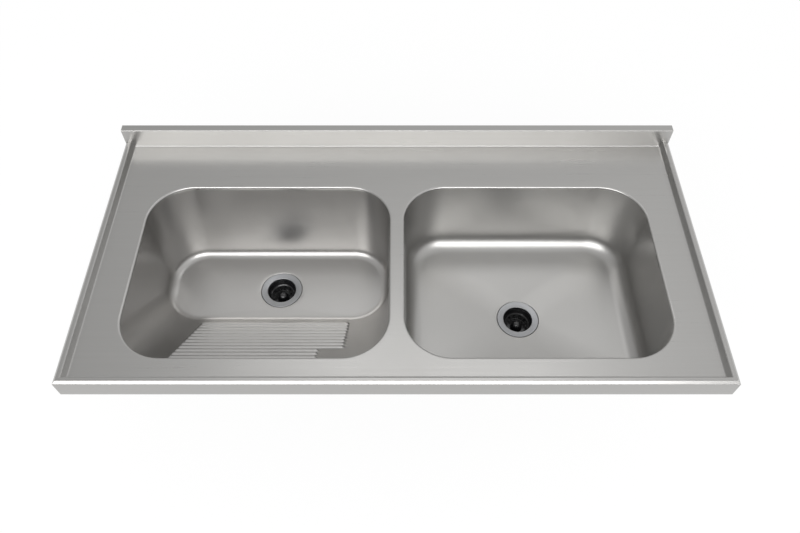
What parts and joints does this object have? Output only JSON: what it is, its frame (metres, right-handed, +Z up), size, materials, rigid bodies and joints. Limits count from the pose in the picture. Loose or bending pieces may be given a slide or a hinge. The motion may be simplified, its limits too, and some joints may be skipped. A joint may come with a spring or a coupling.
{
  "type": "laundry sink",
  "caption": "Double laundry sink top in brushed steel sheet: washboard tub left, plain bowl right, raised rim, low backsplash and basket wastes.",
  "frame": {"origin": "middle of the plane on which the top rests, on the underside of the rail between the two bowls", "axes": "+X along the width, to the right for someone who stands at the sink; +Y from the front edge to the wall; +Z up"},
  "size_m": [1.2, 0.602, 0.42],
  "materials": {
    "brushed_sheet": "satin, fine grain along the width",
    "bowl_steel": "satin, pressed and brushed",
    "waste_steel": "satin",
    "zinc_rail": "galvanised",
    "black_plastic": "moulded, glossy",
    "white_plastic": "moulded, satin",
    "rubber": "matte",
    "sound_pad": "matte sheet"
  },
  "bodies": {
    "sink": {"worktop": "brushed_sheet", "wash_bowl": "bowl_steel", "rinse_bowl": "bowl_steel", "wash_sound_pad": "sound_pad", "rinse_sound_pad": "sound_pad", "front_rail": "zinc_rail", "rear_rail": "zinc_rail", "left_rail": "zinc_rail", "right_rail": "zinc_rail", "centre_rail": "zinc_rail", "wash_flange": "waste_steel", "wash_cup": "black_plastic", "wash_top_gasket": "rubber", "wash_under_washer": "rubber", "wash_slip_ring": "white_plastic", "wash_lock_nut": "white_plastic", "wash_tail_washer": "rubber", "wash_coupling_nut": "white_plastic", "wash_tailpiece": "white_plastic", "rinse_flange": "waste_steel", "rinse_cup": "black_plastic", "rinse_top_gasket": "rubber", "rinse_under_washer": "rubber", "rinse_slip_ring": "white_plastic", "rinse_lock_nut": "white_plastic", "rinse_tail_washer": "rubber", "rinse_coupling_nut": "white_plastic", "rinse_tailpiece": "white_plastic"},
    "left_basket": {"wash_basket": "black_plastic", "wash_stopper": "rubber"},
    "right_basket": {"rinse_basket": "black_plastic", "rinse_stopper": "rubber"}
  },
  "joints": [
    {"name": "left_basket_lift", "type": "slide", "parent": "sink", "child": "left_basket", "axis": [0, 0, 1], "range_m": [0, 0.26]},
    {"name": "right_basket_lift", "type": "slide", "parent": "sink", "child": "right_basket", "axis": [0, 0, 1], "range_m": [0, 0.26]}
  ]
}
